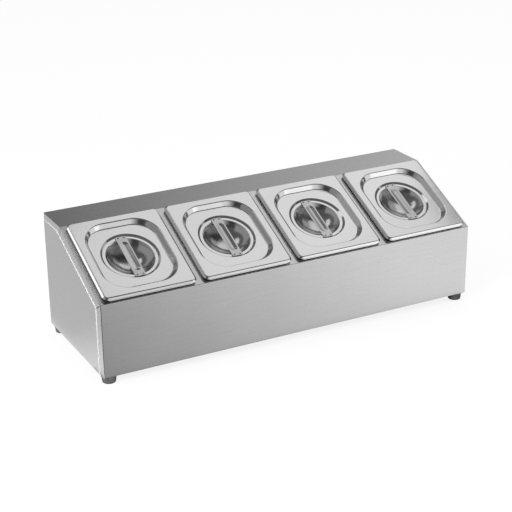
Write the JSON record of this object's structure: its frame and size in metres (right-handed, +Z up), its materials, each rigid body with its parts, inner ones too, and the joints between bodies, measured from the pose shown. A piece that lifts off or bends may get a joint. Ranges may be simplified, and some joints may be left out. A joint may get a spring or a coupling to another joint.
{
  "type": "condiment tray",
  "caption": "Sloped stainless counter-top condiment tray: folded body on rubber feet with a row of lift-out pans, each under a lift-off lid with a recessed strap handle.",
  "frame": {"origin": "under the middle of the tray, on the surface that its feet stand on", "axes": "+X along the row of pans to the right of a person in front, +Y from front to back, +Z up"},
  "size_m": [0.702, 0.2422, 0.2223],
  "materials": {
    "body_sheet": "fine brushed grain along the length",
    "pan_steel": "satin deep-drawn",
    "lid_steel": "bright satin with polished bowl",
    "strap_steel": "satin",
    "foot_rubber": "matt",
    "fastener_steel": "plain turned"
  },
  "bodies": {
    "body": {"body_wrap": "body_sheet", "left_end_panel": "body_sheet", "right_end_panel": "body_sheet", "back_panel": "body_sheet", "base_panel": "body_sheet", "foot_front_left": "foot_rubber", "foot_front_right": "foot_rubber", "foot_back_left": "foot_rubber", "foot_back_right": "foot_rubber", "foot_screws": "fastener_steel", "foot_washers": "fastener_steel", "foot_nuts": "fastener_steel"},
    "pan_1": {"pan_1": "pan_steel"},
    "lid_1": {"lid_1": "lid_steel", "lid_handle_1": "strap_steel"},
    "pan_2": {"pan_2": "pan_steel"},
    "lid_2": {"lid_2": "lid_steel", "lid_handle_2": "strap_steel"},
    "pan_3": {"pan_3": "pan_steel"},
    "lid_3": {"lid_3": "lid_steel", "lid_handle_3": "strap_steel"},
    "pan_4": {"pan_4": "pan_steel"},
    "lid_4": {"lid_4": "lid_steel", "lid_handle_4": "strap_steel"}
  },
  "joints": [
    {"name": "pan_1_lift", "type": "slide", "parent": "body", "child": "pan_1", "axis": [0, -0.4204, 0.9073], "range_m": [0, 0.13]},
    {"name": "lid_1_lift", "type": "slide", "parent": "pan_1", "child": "lid_1", "axis": [0, -0.4204, 0.9073], "range_m": [0, 0.08]},
    {"name": "pan_2_lift", "type": "slide", "parent": "body", "child": "pan_2", "axis": [0, -0.4204, 0.9073], "range_m": [0, 0.13]},
    {"name": "lid_2_lift", "type": "slide", "parent": "pan_2", "child": "lid_2", "axis": [0, -0.4204, 0.9073], "range_m": [0, 0.08]},
    {"name": "pan_3_lift", "type": "slide", "parent": "body", "child": "pan_3", "axis": [0, -0.4204, 0.9073], "range_m": [0, 0.13]},
    {"name": "lid_3_lift", "type": "slide", "parent": "pan_3", "child": "lid_3", "axis": [0, -0.4204, 0.9073], "range_m": [0, 0.08]},
    {"name": "pan_4_lift", "type": "slide", "parent": "body", "child": "pan_4", "axis": [0, -0.4204, 0.9073], "range_m": [0, 0.13]},
    {"name": "lid_4_lift", "type": "slide", "parent": "pan_4", "child": "lid_4", "axis": [0, -0.4204, 0.9073], "range_m": [0, 0.08]}
  ]
}
